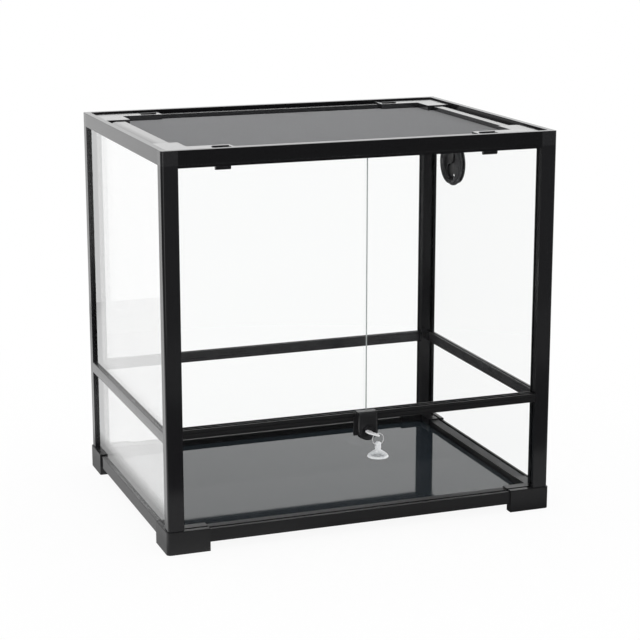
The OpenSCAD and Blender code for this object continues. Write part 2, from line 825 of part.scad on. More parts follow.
// Groove for the screen's cord and the rebate that the screen lies against
module screen_cut() {
  outer = [lid_w - 2 * spline_in, lid_d - 2 * spline_in];
  inner = [outer[0] - 2 * spline_w, outer[1] - 2 * spline_w];
  translate([0, 0, lid_bottom - 1]) {
    linear_extrude(height = spline_top - lid_bottom + 1) difference() {
      square(outer, center = true);
      square(inner, center = true);
    }
    linear_extrude(height = screen_top - lid_bottom + 1.05) square(inner, center = true);
  }
}

// Section of a lid rail, measured inward from the lid's edge: a low edge under a rounded shoulder
module lid_section() {
  rise = lid_rail_top - lid_bottom - lid_edge_t;
  shoulder_r = (pow(lid_shoulder_w, 2) + pow(rise, 2)) / (2 * rise);
  difference() {
    rect([0, lid_rail_w], [lid_bottom, lid_rail_top]);
    difference() {
      rect([-1, lid_shoulder_w], [lid_bottom - 1, lid_rail_top + 1]);
      translate([lid_shoulder_w, lid_rail_top - shoulder_r]) circle(shoulder_r, $fn = 8 * FINE);
    }
    translate([lid_rail_w, lid_rail_top]) mirror([0, 1]) mirror([1, 0]) round_cut(edge_r);
    rect(lid_socket, lid_socket_z);
  }
}

module lid_long_rail(back) {
  length = frame_w - 2 * lid_arm_x;
  color(BLACK) difference() {
    flip(back, [0, 1, 0]) translate([0, -lid_d / 2, 0]) rotate([90, 0, 90])
      linear_extrude(height = length, center = true) lid_section();
    screen_cut();
  }
}

module lid_short_rail(right) {
  length = frame_d - 2 * lid_arm_y;
  color(BLACK) difference() {
    flip(right, [1, 0, 0]) translate([-lid_w / 2, 0, 0]) rotate([90, 0, 0])
      linear_extrude(height = length, center = true) lid_section();
    screen_cut();
  }
}

module lid_rail_front() { placed() lid_long_rail(false); }
module lid_rail_back() { placed() lid_long_rail(true); }
module lid_rail_left() { placed() lid_short_rail(false); }
module lid_rail_right() { placed() lid_short_rail(true); }

// Places of the latch's pocket and slot, from the frame's outer face
pocket_v = [leg_v - latch_travel - latch_front - 0.4, leg_v + leg_t + latch_back + 0.4];
leg_slot_v = [leg_v - latch_travel - 0.3, leg_v + leg_t + 0.3];

// L-shaped corner of the lid with its plugs, latch pocket and leg slot
module lid_corner(right, back) {
  edge = lip_w + lid_gap;
  socket = plug(lid_socket);
  difference() {
    corner(right, back) difference() {
      union() {
        translate([0, 0, lid_bottom]) linear_extrude(height = lid_corner_top - lid_bottom)
          difference() {
            union() {
              rect([edge, lid_arm_x], [edge, edge + lid_inner]);
              rect([edge, edge + lid_inner], [edge, lid_arm_y]);
            }
            translate([edge, edge]) round_cut(2);
          }
        block([lid_arm_x - 1, lid_arm_x + plug_len],
              [edge + socket[0], edge + socket[1]], plug(lid_socket_z));
        block([edge + socket[0], edge + socket[1]],
              [lid_arm_y - 1, lid_arm_y + plug_len], plug(lid_socket_z));
      }
      block([latch_in - latch_w / 2 - 0.4, latch_in + latch_w / 2 + 0.4], pocket_v,
            [latch_pocket_z, frame_h]);
      block([latch_in - latch_w / 2 + 1.7, latch_in + latch_w / 2 - 1.7], leg_slot_v,
            [lid_bottom - 1, frame_h]);
    }
    screen_cut();
  }
}

module lid_corners() {
  placed() color(BLACK) for (right = [false, true], back = [false, true]) lid_corner(right, back);
}

// Woven screen, drawn as one thin sheet with a plain grid of openings
module lid_screen() {
  inset = spline_in + spline_w + 0.1;
  sheet = [lid_w - 2 * inset, lid_d - 2 * inset];
  border = lid_rail_w - inset + screen_bar / 2;
  field = [sheet[0] - 2 * border, sheet[1] - 2 * border];
  rows = round(screen_cells * field[1] / field[0]);
  cell = [(field[0] + screen_bar) / screen_cells, (field[1] + screen_bar) / rows];
  placed() color([0.45, 0.45, 0.46]) translate([0, 0, screen_top - screen_t])
    linear_extrude(height = screen_t) difference() {
      square(sheet, center = true);
      for (i = [0 : screen_cells - 1], j = [0 : rows - 1])
        translate([i * cell[0] - field[0] / 2, j * cell[1] - field[1] / 2])
          square([cell[0] - screen_bar, cell[1] - screen_bar]);
    }
}

// Rubber cord that clamps the screen in its groove
module screen_cord() {
  outer = [lid_w - 2 * spline_in - 0.3, lid_d - 2 * spline_in - 0.3];
  cord = spline_w - 0.3;
  placed() color(SATIN) translate([0, 0, cord_bottom])
    linear_extrude(height = spline_top - 0.3 - cord_bottom) difference() {
      square(outer, center = true);
      square([outer[0] - 2 * cord, outer[1] - 2 * cord], center = true);
    }
}

// Slide latch: plate with a raised grip behind three finger hollows, and a leg through the
// lid whose nose hooks under the frame
module latch(right, back) {
  x = [latch_in - latch_w / 2, latch_in + latch_w / 2];
  v = [leg_v - latch_front, leg_v + leg_t + latch_back];
  plate_z = latch_pocket_z + seat;
  plate_top = plate_z + latch_plate_t;
  nose_top = hook_flange_z - seat;
  grip = v[1] - latch_grip_t;
  hollow_w = (latch_w - 2 * latch_side - 2 * latch_rib) / 3;
  color(SATIN) corner(right, back) difference() {
    union() {
      block(x, v, [plate_z, plate_top]);
      block([x[0] + 1, x[1] - 1], [grip, v[1]], [plate_z, lid_corner_top + latch_rise]);
      block([x[0] + 2, x[1] - 2], [leg_v, leg_v + leg_t], [nose_top - nose_t, plate_z + 1]);
      difference() {
        block([x[0] + 2, x[1] - 2], [leg_v - nose_len, leg_v + 1], [nose_top - nose_t, nose_top]);
        translate([latch_in, leg_v - nose_len, nose_top - nose_t]) rotate([45, 0, 0])
          cube([latch_w + 2, 3, 3], center = true);
      }
    }
    for (i = [0 : 2]) {
      start = x[0] + latch_side + i * (hollow_w + latch_rib);
      block([start, start + hollow_w], [leg_v + leg_t + 0.6, grip],
            [plate_top - latch_hollow, frame_h]);
    }
  }
}

module latch_fl() { placed() latch(false, false); }
module latch_fr() { placed() latch(true, false); }
module latch_bl() { placed() latch(false, true); }
module latch_br() { placed() latch(true, true); }

// ---------- cable port ----------

// Body clipped into the hole of the right pane: flange outside, deep collar inside
module port_body() {
  rim_r = port_r - 3.6;
  bowl_r = port_bore_r + 2.6;
  placed() color(BLACK) translate([right_glass_in - glass_gap, port_y, port_z]) rotate([0, -90, 0])
    rotate_extrude($fn = 3 * FINE) polygon([
      [port_bore_r, -glass_t - 2.4], [port_r - 3, -glass_t - 2.4], [port_r - 3, -glass_t - 0.2],
      [port_hole_r - 0.2, -glass_t - 0.2], [port_hole_r - 0.2, 0.2], [port_r, 0.2],
      [port_r, 2.6], [port_r - 0.6, 3.2], [rim_r + 0.8, 3.8], [rim_r + 0.4, port_depth - 1],
      [rim_r - 0.6, port_depth], [rim_r - 2, port_depth], [rim_r - 2.6, port_depth - 0.8],
      [bowl_r + 1.2, cover_top + 1.6], [bowl_r, cover_top + 0.2], [bowl_r, cover_top - cover_t - 0.2],
      [port_bore_r, cover_top - cover_t - 0.2]]);
}

// One half of the wave that runs across the cover: a half ring round [x, 0]
module wave_half(x, side, r, width) {
  translate([x, 0]) difference() {
    circle(r + width / 2, $fn = 2 * FINE);
    circle(r - width / 2, $fn = 2 * FINE);
    translate([-2 * r, side > 0 ? -2 * r - EPS : EPS]) square([4 * r, 2 * r]);
  }
}

// Cover that turns in the collar: a wave-shaped grip, and a notch that passes a cable
module port_cover() {
  cover_r = port_bore_r + 2.3;
  wave_r = (cover_r - 4) / 2;
  notch_r = 4.5;
  placed() color(SATIN) translate([right_glass_in - glass_gap, port_y, port_z]) rotate([0, -90, 0])
    difference() {
      union() {
        translate([0, 0, cover_top - cover_t]) cylinder(r = cover_r, h = cover_t, $fn = 3 * FINE);
        translate([0, 0, cover_top - EPS]) linear_extrude(height = 2.2) {
          wave_half(wave_r, -1, wave_r, 1.8);
          wave_half(-wave_r, 1, wave_r, 1.8);
        }
      }
      translate([0, 0, cover_top - 0.8]) linear_extrude(height = 4) {
        wave_half(wave_r, -1, wave_r - 2.2, 1.4);
        wave_half(-wave_r, 1, wave_r + 2.2, 1.4);
      }
      translate([-cover_r + 7, -9, cover_top - 5]) cylinder(r = notch_r, h = 12, $fn = FINE);
      block([-cover_r - 1, -cover_r + 7], [-9 - notch_r, -9 + notch_r],
            [cover_top - 5, cover_top + 12]);
    }
}

post_upper_fl();
post_upper_fr();
post_upper_bl();
post_upper_br();
post_lower_fl();
post_lower_fr();
post_lower_bl();
post_lower_br();
top_corner_fl();
top_corner_fr();
top_corner_bl();
top_corner_br();
foot_fl();
foot_fr();
foot_bl();
foot_br();
mid_plugs();
top_rail_front();
top_rail_back();
top_rail_left();
top_rail_right();
mid_rail_front();
mid_rail_back();
mid_rail_left();
mid_rail_right();
base_rail_front();
base_rail_back();
base_rail_left();
base_rail_right();
glass_left_upper();
glass_left_lower();
glass_right_upper();
glass_right_lower();
glass_back_upper();
glass_back_lower();
glass_front_lower();
floor_panel();
left_door();
right_door();
lock_housing();
lock_plug();
lock_bolt();
key();
key_ring();
suction_cup();
lid_rail_front();
lid_rail_back();
lid_rail_left();
lid_rail_right();
lid_corners();
lid_screen();
screen_cord();
latch_fl();
latch_fr();
latch_bl();
latch_br();
port_body();
port_cover();
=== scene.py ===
"""Looks of a glass terrarium with sliding doors, a screen lid, a key lock and a cable port."""

import logging
import math
from dataclasses import dataclass, field
from enum import Enum
from typing import Any, Callable, Sequence

import bpy
import numpy as np
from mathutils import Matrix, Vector


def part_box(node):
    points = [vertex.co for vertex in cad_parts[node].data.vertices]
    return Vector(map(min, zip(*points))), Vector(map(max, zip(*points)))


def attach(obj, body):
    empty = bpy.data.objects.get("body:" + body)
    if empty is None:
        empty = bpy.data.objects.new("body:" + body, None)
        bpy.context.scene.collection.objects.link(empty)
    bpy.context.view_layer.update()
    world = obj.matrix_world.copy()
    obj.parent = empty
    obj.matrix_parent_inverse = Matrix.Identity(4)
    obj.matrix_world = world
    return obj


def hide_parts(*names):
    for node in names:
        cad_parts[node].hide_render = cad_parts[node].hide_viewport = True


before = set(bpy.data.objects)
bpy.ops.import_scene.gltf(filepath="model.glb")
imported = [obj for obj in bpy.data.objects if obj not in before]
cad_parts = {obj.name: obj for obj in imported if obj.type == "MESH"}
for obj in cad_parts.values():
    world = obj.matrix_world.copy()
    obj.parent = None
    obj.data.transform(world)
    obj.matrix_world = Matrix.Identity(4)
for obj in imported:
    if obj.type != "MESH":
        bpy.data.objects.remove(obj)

log = logging.getLogger("terrarium")

MM = 0.001
IMAGE_SIDE = 640

Triple = tuple[float, float, float]
Colour = Triple
Span = tuple[float, float]
Value = Any

BLACK: Colour = (0.0, 0.0, 0.0)
WHITE: Colour = (1.0, 1.0, 1.0)


class Axis(Enum):
    """The direction that a profile was extruded in."""

    X = 0
    Y = 1
    Z = 2


# ---------- shader maths ----------


class Sock:
    """An output socket that takes part in Python expressions."""

    def __init__(self, tree: "Tree", socket: bpy.types.NodeSocket) -> None:
        """Wraps a socket.

        Args:
            tree: the tree that new nodes go into.
            socket: an output of one of its nodes.
        """
        self.tree = tree
        self.socket = socket

    def __add__(self, other: Value) -> "Sock":
        """Sum."""
        return self.tree.math("ADD", self, other)

    def __sub__(self, other: Value) -> "Sock":
        """Difference."""
        return self.tree.math("SUBTRACT", self, other)

    def __rsub__(self, other: Value) -> "Sock":
        """Difference, reflected."""
        return self.tree.math("SUBTRACT", other, self)

    def __mul__(self, other: Value) -> "Sock":
        """Product."""
        return self.tree.math("MULTIPLY", self, other)

    def __pow__(self, other: Value) -> "Sock":
        """Power."""
        return self.tree.math("POWER", self, other)

    def clamp(self) -> "Sock":
        """The value held between 0 and 1."""
        return self.tree.math("MAXIMUM", self.tree.math("MINIMUM", self, 1.0), 0.0)

    def spread(self, low: float, high: float) -> "Sock":
        """0 where the value is low, 1 where it is high, and a straight ramp between.

        Args:
            low: value that becomes 0.
            high: value that becomes 1.

        Returns:
            The ramped value, clamped.
        """
        return ((self - low) * (1.0 / (high - low))).clamp()


class Tree:
    """A material's or world's node tree with one method for every kind of node."""

    def __init__(self, nodes_of: Any) -> None:
        """Empties the node tree of a material or world.

        Args:
            nodes_of: a material or world.
        """
        nodes_of.use_nodes = True
        self.nodes = nodes_of.node_tree.nodes
        self.links = nodes_of.node_tree.links
        self.nodes.clear()

    def node(self, kind: str, settings: dict[str, Any], **values: Value) -> bpy.types.Node:
        """Adds a node.

        Args:
            kind: the node's type, such as ShaderNodeMath.
            settings: attributes set before the sockets.
            values: socket values or links; the name is the socket's, with _ for a space,
                or iN for input number N.

        Returns:
            The node.
        """
        made = self.nodes.new(kind)
        for name, value in settings.items():
            setattr(made, name, value)
        for name, value in values.items():
            numbered = name[0] == "i" and name[1:].isdigit()
            target = made.inputs[int(name[1:]) if numbered else name.replace("_", " ")]
            if isinstance(value, Sock):
                self.links.new(value.socket, target)
            elif isinstance(value, bpy.types.NodeSocket):
                self.links.new(value, target)
            else:
                target.default_value = value
        return made

    def math(self, operation: str, a: Value, b: Value) -> Sock:
        """A Math node on two values.

        Args:
            operation: such as ADD.
            a: first value or link.
            b: second value or link.

        Returns:
            The result.
        """
        made = self.node("ShaderNodeMath", {"operation": operation}, i0=a, i1=b)
        return Sock(self, made.outputs[0])

    def point(self, scale: Sequence[float] = (1, 1, 1)) -> Sock:
        """Object coordinates, stretched.

        Args:
            scale: factor along each axis.

        Returns:
            The stretched position in metres.
        """
        place = self.node("ShaderNodeTexCoord", {}).outputs["Object"]
        made = self.node("ShaderNodeMapping", {}, Vector=place, Scale=tuple(scale))
        return Sock(self, made.outputs[0])

    def noise(self, place: Sock, scale: float, detail: float = 2.0, rough: float = 0.5) -> Sock:
        """Noise from 0 to 1 at a place.

        Args:
            place: where it is read.
            scale: features per metre.
            detail: octaves.
            rough: share that each octave keeps.

        Returns:
            The noise value.
        """
        made = self.node(
            "ShaderNodeTexNoise", {}, Vector=place, Scale=scale, Detail=detail, Roughness=rough
        )
        return Sock(self, made.outputs[0])

    def mix(self, amount: Value, low: Value, high: Value) -> Sock:
        """A colour between two colours.

        Args:
            amount: 0 gives low and 1 gives high.
            low: colour or link.
            high: colour or link.

        Returns:
            The mixed colour.
        """
        made = self.node("ShaderNodeMix", {"data_type": "RGBA"})
        for index, value in ((0, amount), (6, low), (7, high)):
            if isinstance(value, Sock):
                self.links.new(value.socket, made.inputs[index])
            elif index == 0:
                made.inputs[index].default_value = value
            else:
                made.inputs[index].default_value = (*value, 1.0)
        return Sock(self, made.outputs[2])

    def bump(self, height: Sock, distance: float, strength: float) -> Sock:
        """A normal pushed by a height.

        Args:
            height: the height, 0 to 1.
            distance: metres for a height of 1.
            strength: share of the effect.

        Returns:
            The normal.
        """
        made = self.node(
            "ShaderNodeBump", {}, Height=height, Distance=distance, Strength=strength
        )
        return Sock(self, made.outputs[0])

    def surface(
        self, shader: bpy.types.NodeSocket, kind: str = "ShaderNodeOutputMaterial"
    ) -> None:
        """Sends a shader to the output.

        Args:
            shader: a shader's output.
            kind: type of the output node.
        """
        self.node(kind, {}, Surface=shader)


# ---------- finishes ----------


@dataclass(frozen=True)
class Finish:
    """A surface finish. Each is made once and shared by every piece that has it."""

    name: str
    slot: str

    def material(self) -> bpy.types.Material:
        """The finish's material, made on first use.

        Returns:
            The material, shared by every piece with this finish.
        """
        found = bpy.data.materials.get(self.name)
        if found is None:
            found = bpy.data.materials.new(self.name)
            self.fill(Tree(found))
        return found

    def fill(self, tree: Tree) -> None:
        """Builds the nodes.

        Args:
            tree: the material's empty tree.
        """
        raise NotImplementedError

    def put_on(self, *nodes: str) -> None:
        """Puts the finish on CAD nodes.

        Args:
            nodes: the names of the nodes.
        """
        for name in nodes:
            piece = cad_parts[name]
            piece.data.materials.clear()
            piece.data.materials.append(self.material())
            log.info("%s: %s", name, self.name)

    def put_on_piece(self, piece: bpy.types.Object) -> bpy.types.Object:
        """Puts the finish on a piece made here.

        Args:
            piece: the piece.

        Returns:
            The same piece.
        """
        piece.data.materials.clear()
        piece.data.materials.append(self.material())
        log.info("%s: %s", piece.name, self.name)
        return piece


@dataclass(frozen=True)
class Extruded(Finish):
    """Gloss black plastic drawn through a die: fine lines run along the profile. Noise scales
    of all finishes are in features per metre, and a relief is a depth and its share."""

    along: Axis = Axis.X
    base: Colour = (0.0105, 0.0105, 0.0115)
    rough: float = 0.13
    coat: float = 0.9
    line_pitch: float = 1.1 * MM
    line_stretch: float = 0.004
    waves: float = 26.0
    dust: float = 900.0
    dust_range: Span = (0.56, 0.8)
    dusty: Colour = (0.05, 0.05, 0.052)
    relief: Span = (0.06 * MM, 0.18)

    def fill(self, tree: Tree) -> None:
        """Lines along the profile, slow waviness, and a little dust in the roughness.

        Args:
            tree: the material's empty tree.
        """
        stretch = [1.0, 1.0, 1.0]
        stretch[self.along.value] = self.line_stretch
        lines = tree.noise(tree.point(stretch), 1.0 / self.line_pitch, 2.0)
        wave = tree.noise(tree.point(), self.waves, 1.0)
        dust = tree.noise(tree.point(), self.dust, 3.0, 0.7).spread(*self.dust_range)
        height = lines * 0.8 + wave * 0.6
        shader = tree.node(
            "ShaderNodeBsdfPrincipled",
            {},
            Base_Color=tree.mix(dust * 0.16, self.base, self.dusty),
            Roughness=lines * 0.05 + dust * 0.08 + wave * 0.04 + (self.rough - 0.03),
            Normal=tree.bump(height, *self.relief),
            Coat_Weight=self.coat,
            Coat_Roughness=0.06,
            Specular_IOR_Level=0.5,
        )
        tree.surface(shader.outputs[0])


@dataclass(frozen=True)
class Moulded(Finish):
    """Satin black plastic from a mould, with a fine spark-eroded grain."""

    base: Colour = (0.014, 0.014, 0.0152)
    rough: float = 0.24
    coat: float = 0.55
    grain: float = 2600.0
    flow: float = 38.0
    flow_stretch: Triple = (1.0, 1.0, 1.7)
    scuffs: float = 420.0
    scuff_stretch: Triple = (1.0, 0.25, 1.0)
    scuff_range: Span = (0.6, 0.78)
    scuffed: Colour = (0.06, 0.06, 0.063)
    relief: Span = (0.08 * MM, 0.3)

    def fill(self, tree: Tree) -> None:
        """Fine grain, slow flow marks, and scuffs that are a little lighter.

        Args:
            tree: the material's empty tree.
        """
        grain = tree.noise(tree.point(), self.grain, 2.0)
        flow = tree.noise(tree.point(self.flow_stretch), self.flow, 2.0)
        scuff = tree.noise(tree.point(self.scuff_stretch), self.scuffs, 4.0, 0.65)
        scuff = scuff.spread(*self.scuff_range)
        shader = tree.node(
            "ShaderNodeBsdfPrincipled",
            {},
            Base_Color=tree.mix(scuff * 0.3, self.base, self.scuffed),
            Roughness=flow * 0.1 + scuff * 0.12 + (self.rough - 0.05),
            Normal=tree.bump(grain * 0.7 + flow * 0.9, *self.relief),
            Coat_Weight=self.coat,
            Coat_Roughness=0.12,
            Specular_IOR_Level=0.5,
        )
        tree.surface(shader.outputs[0])


@dataclass(frozen=True)
class FloatGlass(Finish):
    """Clear float glass. Each face lets most light straight through and mirrors a share that
    grows as it is seen more edge-on, so that a pane's two faces together act as thin glass."""

    tint: Colour = (0.997, 0.999, 0.998)
    mirror: float = 0.008
    growth: float = 8.0
    smears: float = 21.0
    smear_stretch: Triple = (1.0, 1.0, 0.35)
    smear_range: Span = (0.5, 0.9)
    smeared: Colour = (0.96, 0.97, 0.97)

    def fill(self, tree: Tree) -> None:
        """The mirrored share is mirror + (1 - mirror) * facing ** growth, plus faint smears.

        Args:
            tree: the material's empty tree.
        """
        facing = tree.node("ShaderNodeLayerWeight", {}, Blend=0.5).outputs["Facing"]
        smear = tree.noise(tree.point(self.smear_stretch), self.smears, 3.0, 0.6)
        smear = smear.spread(*self.smear_range)
        share = Sock(tree, facing) ** self.growth * (1.0 - self.mirror) + self.mirror
        clear = tree.node("ShaderNodeBsdfTransparent", {}, Color=(*self.tint, 1.0))
        face = tree.node(
            "ShaderNodeBsdfPrincipled",
            {},
            Base_Color=tree.mix(smear, WHITE, self.smeared),
            Roughness=smear * 0.03,
            Metallic=1.0,
        )
        both = tree.node(
            "ShaderNodeMixShader", {}, i0=share, i1=clear.outputs[0], i2=face.outputs[0]
        )
        tree.surface(both.outputs[0])


@dataclass(frozen=True)
class GroundEdge(Finish):
    """Edge of a pane, ground and seamed: pale grey green and matt."""

    base: Colour = (0.34, 0.37, 0.365)
    ground: Colour = (0.46, 0.5, 0.49)
    marks: float = 4200.0
    mark_stretch: Triple = (1.0, 1.0, 0.02)
    relief: Span = (0.05 * MM, 0.3)

    def fill(self, tree: Tree) -> None:
        """Grinding marks along the edge.

        Args:
            tree: the material's empty tree.
        """
        marks = tree.noise(tree.point(self.mark_stretch), self.marks, 2.0)
        shader = tree.node(
            "ShaderNodeBsdfPrincipled",
            {},
            Base_Color=tree.mix(marks, self.base, self.ground),
            Roughness=marks * 0.2 + 0.35,
            Normal=tree.bump(marks, *self.relief),
        )
        tree.surface(shader.outputs[0])


@dataclass(frozen=True)
class GlossPanel(Finish):
    """Dark grey panel, polished so that it mirrors what stands round it."""

    base: Colour = (0.016, 0.021, 0.0255)
    rough: float = 0.03
    cloudy: Colour = (0.02, 0.0265, 0.032)
    clouds: float = 9.0
    dust: float = 1500.0
    dust_range: Span = (0.62, 0.78)
    waves: float = 14.0
    relief: Span = (0.1 * MM, 0.12)

    def fill(self, tree: Tree) -> None:
        """Faint cloudy colour, settled dust and a slight waviness in the reflection.

        Args:
            tree: the material's empty tree.
        """
        cloud = tree.noise(tree.point(), self.clouds, 2.0)
        dust = tree.noise(tree.point(), self.dust, 2.0, 0.7).spread(*self.dust_range)
        wave = tree.noise(tree.point(), self.waves, 1.0)
        shader = tree.node(
            "ShaderNodeBsdfPrincipled",
            {},
            Base_Color=tree.mix(cloud * 0.5 + dust * 0.2, self.base, self.cloudy),
            Roughness=dust * 0.08 + cloud * 0.02 + self.rough,
            Normal=tree.bump(wave, *self.relief),
            Specular_IOR_Level=0.44,
        )
        tree.surface(shader.outputs[0])


@dataclass(frozen=True)
class Plated(Finish):
    """Metal plate over brushed brass: bright nickel, or blackened."""

    base: Colour = (0.82, 0.82, 0.84)
    worn: Colour = (0.55, 0.55, 0.56)
    rough: float = 0.16
    metal: float = 1.0
    brushing: float = 5200.0
    brush_stretch: Triple = (1.0, 0.06, 1.0)
    spots: float = 700.0
    spot_range: Span = (0.55, 0.8)
    relief: Span = (0.03 * MM, 0.25)

    def fill(self, tree: Tree) -> None:
        """Brushing along the piece and small tarnished spots.

        Args:
            tree: the material's empty tree.
        """
        brush = tree.noise(tree.point(self.brush_stretch), self.brushing, 2.0)
        spot = tree.noise(tree.point(), self.spots, 3.0, 0.6).spread(*self.spot_range)
        shader = tree.node(
            "ShaderNodeBsdfPrincipled",
            {},
            Base_Color=tree.mix(spot * 0.5, self.base, self.worn),
            Metallic=self.metal,
            Roughness=brush * 0.1 + spot * 0.14 + (self.rough - 0.05),
            Normal=tree.bump(brush, *self.relief),
        )
        tree.surface(shader.outputs[0])


@dataclass(frozen=True)
class ClearVinyl(Finish):
    """Soft clear vinyl: see-through where it is thin, milky at its edges and in its neck. Neck
    and rim are the heights between which the milkiness goes from none to full."""

    tint: Colour = (0.95, 0.96, 0.965)
    milk: Colour = (0.9, 0.92, 0.94)
    neck: Span = (0.0, 1.0)
    rim: Span = (1.0, 0.0)
    clouds: float = 420.0
    cloud_range: Span = (0.35, 0.75)
    relief: Span = (0.2 * MM, 0.2)

    def fill(self, tree: Tree) -> None:
        """The milky share grows edge-on, up the neck, at the rim, and in cloudy patches.

        Args:
            tree: the material's empty tree.
        """
        place = tree.node("ShaderNodeSeparateXYZ", {}, Vector=tree.point())
        up = Sock(tree, place.outputs["Z"])
        neck = up.spread(*self.neck)
        facing = tree.node("ShaderNodeLayerWeight", {}, Blend=0.5).outputs["Facing"]
        cloud = tree.noise(tree.point(), self.clouds, 3.0).spread(*self.cloud_range)
        rim = up.spread(*self.rim)
        share = Sock(tree, facing) ** 2.0 + neck * 0.6 + rim * 0.6 + cloud * 0.16
        clear = tree.node("ShaderNodeBsdfTransparent", {}, Color=(*self.tint, 1.0))
        body = tree.node(
            "ShaderNodeBsdfPrincipled",
            {},
            Base_Color=tree.mix(cloud, self.milk, WHITE),
            Roughness=cloud * 0.1 + 0.12,
            Normal=tree.bump(cloud, *self.relief),
            Specular_IOR_Level=0.6,
        )
        both = tree.node(
            "ShaderNodeMixShader", {}, i0=share.clamp(), i1=clear.outputs[0], i2=body.outputs[0]
        )
        tree.surface(both.outputs[0])


@dataclass(frozen=True)
class Wire(Finish):
    """Coated screen wire, dark grey."""

    base: Colour = (0.295, 0.297, 0.304)
    pale: Colour = (0.375, 0.377, 0.385)
    rough: float = 0.34
    coating: float = 320.0

    def fill(self, tree: Tree) -> None:
        """Uneven coating along the wires.

        Args:
            tree: the material's empty tree.
        """
        coat = tree.noise(tree.point(), self.coating, 3.0)
        shader = tree.node(
            "ShaderNodeBsdfPrincipled",
            {},
            Base_Color=tree.mix(coat, self.base, self.pale),
            Roughness=coat * 0.12 + self.rough,
            Metallic=0.2,
            Specular_IOR_Level=0.5,
        )
        tree.surface(shader.outputs[0])


@dataclass(frozen=True)
class RubberCord(Finish):
    """Black rubber cord with pressed ribs."""

    base: Colour = (0.012, 0.012, 0.012)
    pale: Colour = (0.026, 0.026, 0.026)
    mottling: float = 1800.0
    rib_pitch: float = 1.6 * MM
    rib_stretch: Triple = (1.0, 1.0, 0.1)
    relief: Span = (0.2 * MM, 0.5)

    def fill(self, tree: Tree) -> None:
        """Fine mottling and ribs across the cord.

        Args:
            tree: the material's empty tree.
        """
        mottle = tree.noise(tree.point(), self.mottling, 3.0)
        ribs = tree.noise(tree.point(self.rib_stretch), 1.0 / self.rib_pitch, 1.0)
        shader = tree.node(
            "ShaderNodeBsdfPrincipled",
            {},
            Base_Color=tree.mix(mottle, self.base, self.pale),
            Roughness=mottle * 0.15 + 0.5,
            Normal=tree.bump(ribs, *self.relief),
        )
        tree.surface(shader.outputs[0])


# ---------- meshes ----------


def placed(name: str, data: bpy.types.ID) -> bpy.types.Object:
    """Puts a mesh, lamp or camera into the scene.

    Args:
        name: the object's name.
        data: what it holds.

    Returns:
        The object, at the origin.
    """
    made = bpy.data.objects.new(name, data)
    bpy.context.scene.collection.objects.link(made)
    return made


def solid(
    name: str, verts: np.ndarray, faces: np.ndarray, sharp: float = 40.0
) -> bpy.types.Object:
    """Puts arrays of corners and quads into a new smooth-shaded object.

    Args:
        name: the object's name.
        verts: (n, 3) positions in metres.
        faces: (m, 4) corner numbers, anticlockwise from outside.
        sharp: degrees past which an edge is drawn sharp.

    Returns:
        The object, linked into the scene.
    """
    mesh = bpy.data.meshes.new(name)
    mesh.vertices.add(len(verts))
    mesh.vertices.foreach_set("co", np.ascontiguousarray(verts, np.float32).ravel())
    mesh.loops.add(faces.size)
    mesh.loops.foreach_set("vertex_index", np.ascontiguousarray(faces, np.int32).ravel())
    mesh.polygons.add(len(faces))
    mesh.polygons.foreach_set("loop_start", np.arange(0, faces.size, 4, dtype=np.int32))
    mesh.update(calc_edges=True)
    mesh.validate()
    mesh.shade_smooth()
    mesh.set_sharp_from_angle(angle=math.radians(sharp))
    return placed(name, mesh)


def ring_quads(rings: int, around: int) -> np.ndarray:
    """Quads between successive rings of points: quad (i, j) joins point j and j + 1 of rings
    i and i + 1, and the last point of a ring joins its first.

    Args:
        rings: how many rings.
        around: points in each ring.

    Returns:
        (m, 4) corner numbers.
    """
    start = np.arange(rings - 1)[:, None] * around
    here = np.arange(around)[None, :]
    after = (here + 1) % around
    corners = [start + here, start + after, start + around + after, start + around + here]
    return np.stack(corners, -1).reshape(-1, 4)


def end_cap(first: int, around: int, flipped: bool) -> np.ndarray:
    """Quads that close a ring of points by joining points in opposite pairs.

    Args:
        first: number of the ring's first point.
        around: points in the ring, an even number.
        flipped: True turns the faces round.

    Returns:
        (m, 4) corner numbers.
    """
    k = np.arange(around // 2 - 1)
    quads = first + np.stack([k, k + 1, around - 2 - k, around - 1 - k], -1)
    return quads[:, ::-1] if flipped else quads


def extrusion(
    name: str,
    section: np.ndarray,
    corner: Sequence[float],
    inward: Sequence[float],
    run: Sequence[float],
    length: float,
    sharp: float = 30.0,
) -> bpy.types.Object:
    """A section drawn along a straight run: point i of ring j is
    corner + section[i, 0] * inward + section[i, 1] * up + j * length * run.

    Args:
        name: the object's name.
        section: (n, 2) outline, inward and up, in metres, anticlockwise.
        corner: where the section's origin starts.
        inward: unit vector of the section's first axis.
        run: unit vector along the piece.
        length: length along the run.
        sharp: degrees past which an edge is drawn sharp.

    Returns:
        The object, linked into the scene.
    """
    inward, run, up = np.array(inward), np.array(run), np.array([0.0, 0.0, 1.0])
    ring = np.array(corner) + section[:, :1] * inward + section[:, 1:] * up
    verts = np.concatenate([ring, ring + length * run])
    count = len(section)
    first = np.arange(count)
    after = (first + 1) % count
    walls = np.stack([first, after, after + count, first + count], -1)
    faces = [*walls.tolist(), first[::-1].tolist(), (first + count).tolist()]
    if np.dot(np.cross(inward, up), run) < 0:
        faces = [face[::-1] for face in faces]
    mesh = bpy.data.meshes.new(name)
    mesh.from_pydata(verts.tolist(), [], faces)
    mesh.validate()
    mesh.shade_smooth()
    mesh.set_sharp_from_angle(angle=math.radians(sharp))
    return placed(name, mesh)


